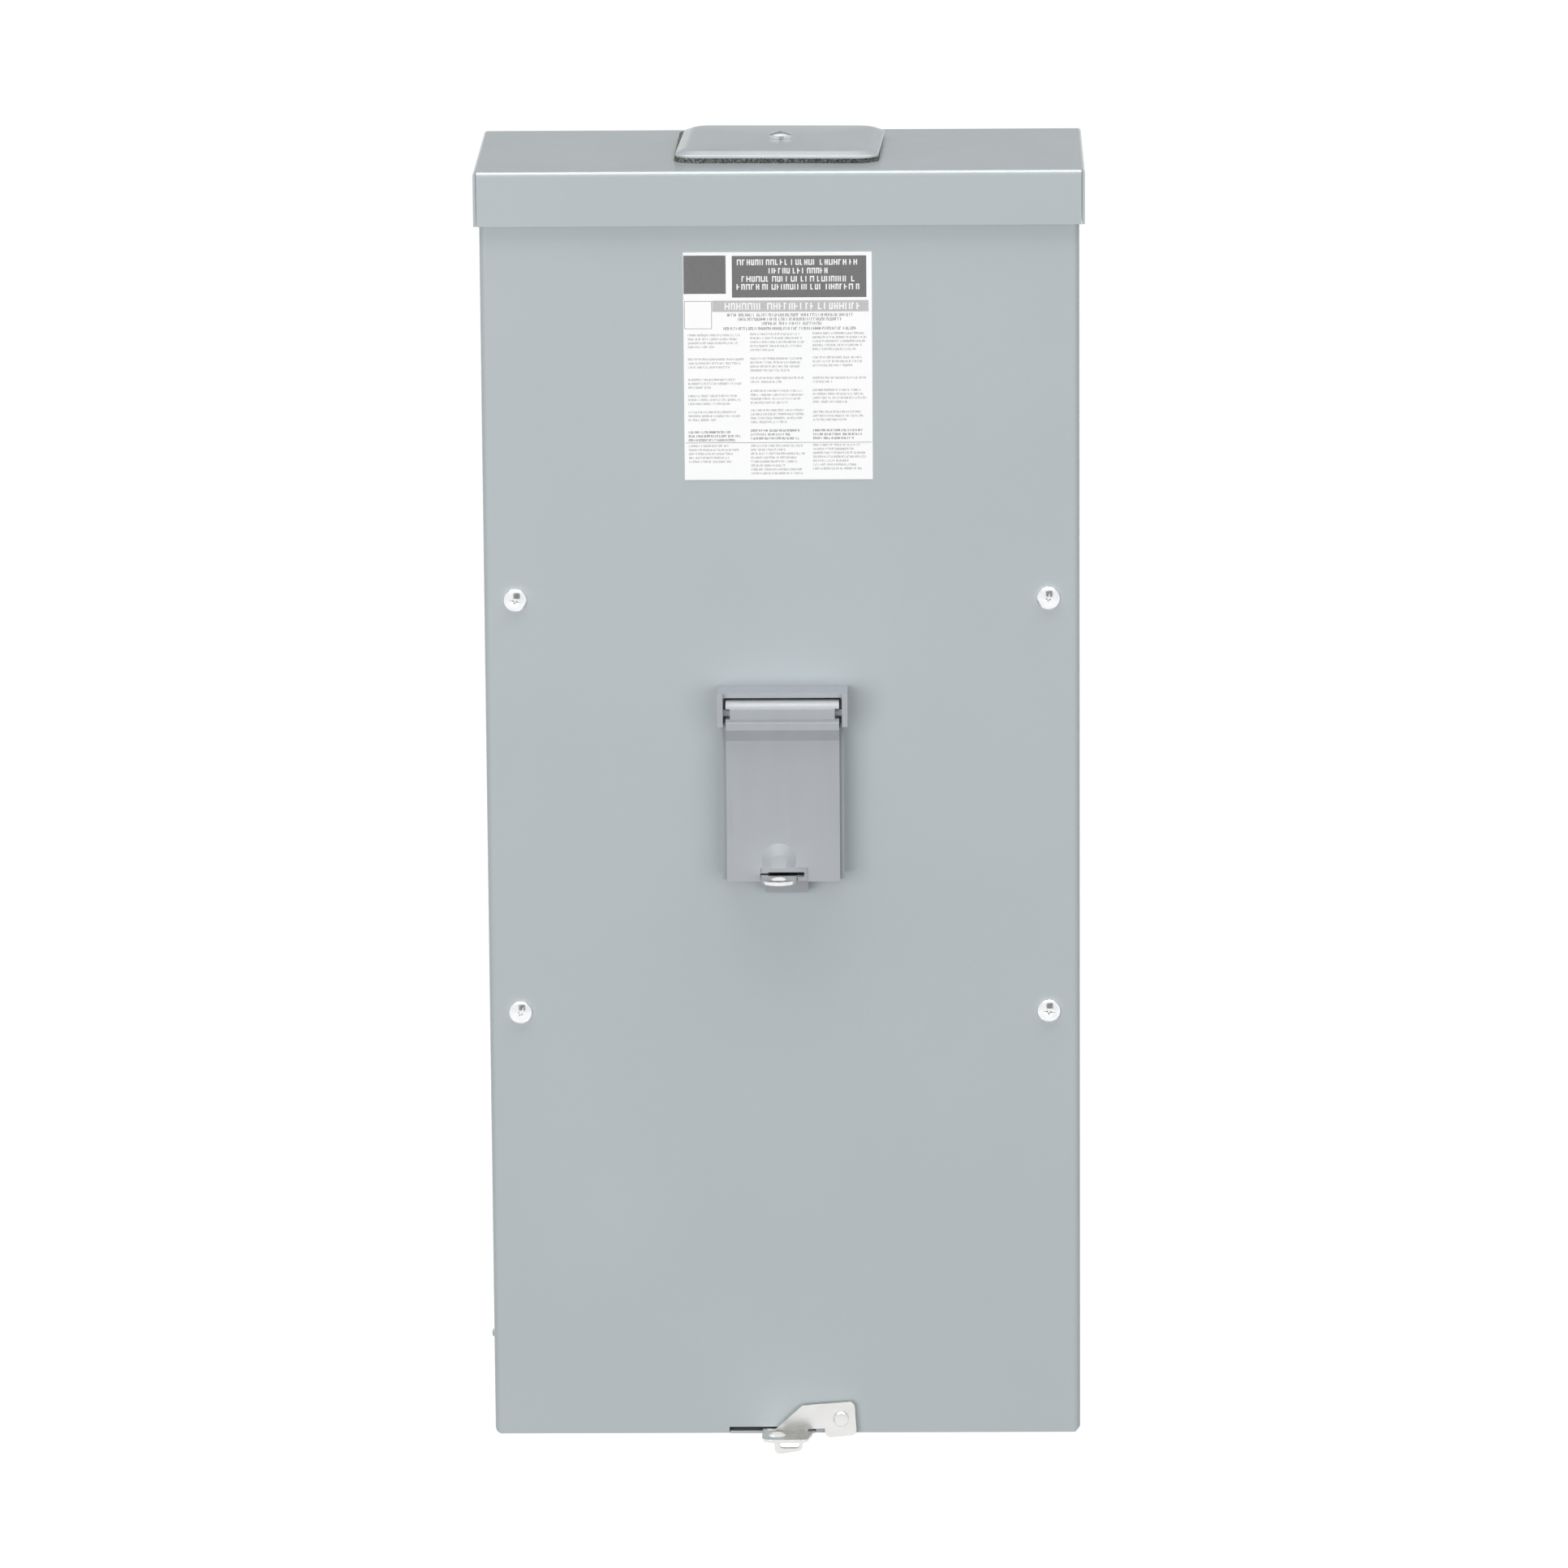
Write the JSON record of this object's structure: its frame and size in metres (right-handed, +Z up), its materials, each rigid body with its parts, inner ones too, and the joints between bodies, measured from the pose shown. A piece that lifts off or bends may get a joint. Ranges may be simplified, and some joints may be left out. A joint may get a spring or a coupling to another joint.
{
  "type": "rain-tight enclosed circuit breaker",
  "caption": "Wall-mounted sheet-steel disconnect box with a rain hood, screwed cover, hinged handle flap, padlock tab and bottom latch around a moulded-case breaker.",
  "frame": {"origin": "centre of the four wall-mounting holes, on the back face", "axes": "+Z up, +X to the right as seen from the front, -Y out of the front, +Y into the wall"},
  "size_m": [0.2662, 0.149, 0.587],
  "materials": {
    "paint": "semi-gloss grey baked enamel",
    "plastic": "satin moulded",
    "zinc": "bright zinc plate",
    "plate": "satin zinc plate",
    "foam": "open-cell foam",
    "label": "printed film",
    "moulding": "moulded thermoset",
    "button": "moulded",
    "alloy": "tin-plated"
  },
  "bodies": {
    "enclosure": {"back_box": "paint", "bottom_wall": "paint", "rain_hood": "paint", "closing_plate": "paint", "closing_gasket": "foam", "closing_screw": "zinc", "clamp_bar": "zinc", "front_cover": "paint", "cover_screws": "zinc", "cover_clip_nuts": "zinc", "side_rivet": "paint", "label": "label", "flap_frame": "plastic", "frame_screws": "zinc", "padlock_tab": "plate", "tab_rivets": "plate", "latch_rivet": "plate", "latch_spacer": "plate", "bottom_hasp": "plate", "hasp_rivets": "plate", "mounting_pan": "zinc", "pan_studs": "zinc", "pan_nuts": "zinc", "breaker_base": "moulding", "breaker_cover": "moulding", "breaker_screws": "zinc", "toggle_pin": "zinc", "line_lugs": "alloy", "load_lugs": "alloy", "lug_screws": "alloy", "neutral_insulator": "moulding", "neutral_bar": "alloy", "neutral_screws": "zinc", "ground_bar": "alloy", "ground_screws": "zinc"},
    "flap": {"flap": "plastic"},
    "toggle": {"breaker_toggle": "moulding"},
    "latch": {"latch_arm": "plate"},
    "trip": {"trip_button": "button"}
  },
  "joints": [
    {"name": "flap_hinge", "type": "hinge", "parent": "enclosure", "child": "flap", "pos_m": [0.0002, -0.1315, 0.0474], "axis": [-1, 0, 0], "range_deg": [0, 100]},
    {"name": "toggle_throw", "type": "hinge", "parent": "enclosure", "child": "toggle", "pos_m": [0, -0.078, 0.013], "axis": [-1, 0, 0], "range_deg": [0, 32]},
    {"name": "latch_pivot", "type": "hinge", "parent": "enclosure", "child": "latch", "pos_m": [0.0239, -0.119, -0.2776], "axis": [0, 1, 0], "range_deg": [0, 100]},
    {"name": "trip_press", "type": "slide", "parent": "enclosure", "child": "trip", "axis": [0, 1, 0], "range_m": [0, 0.0012], "stiffness_N_per_m": 300, "springref_m": -0.003}
  ]
}
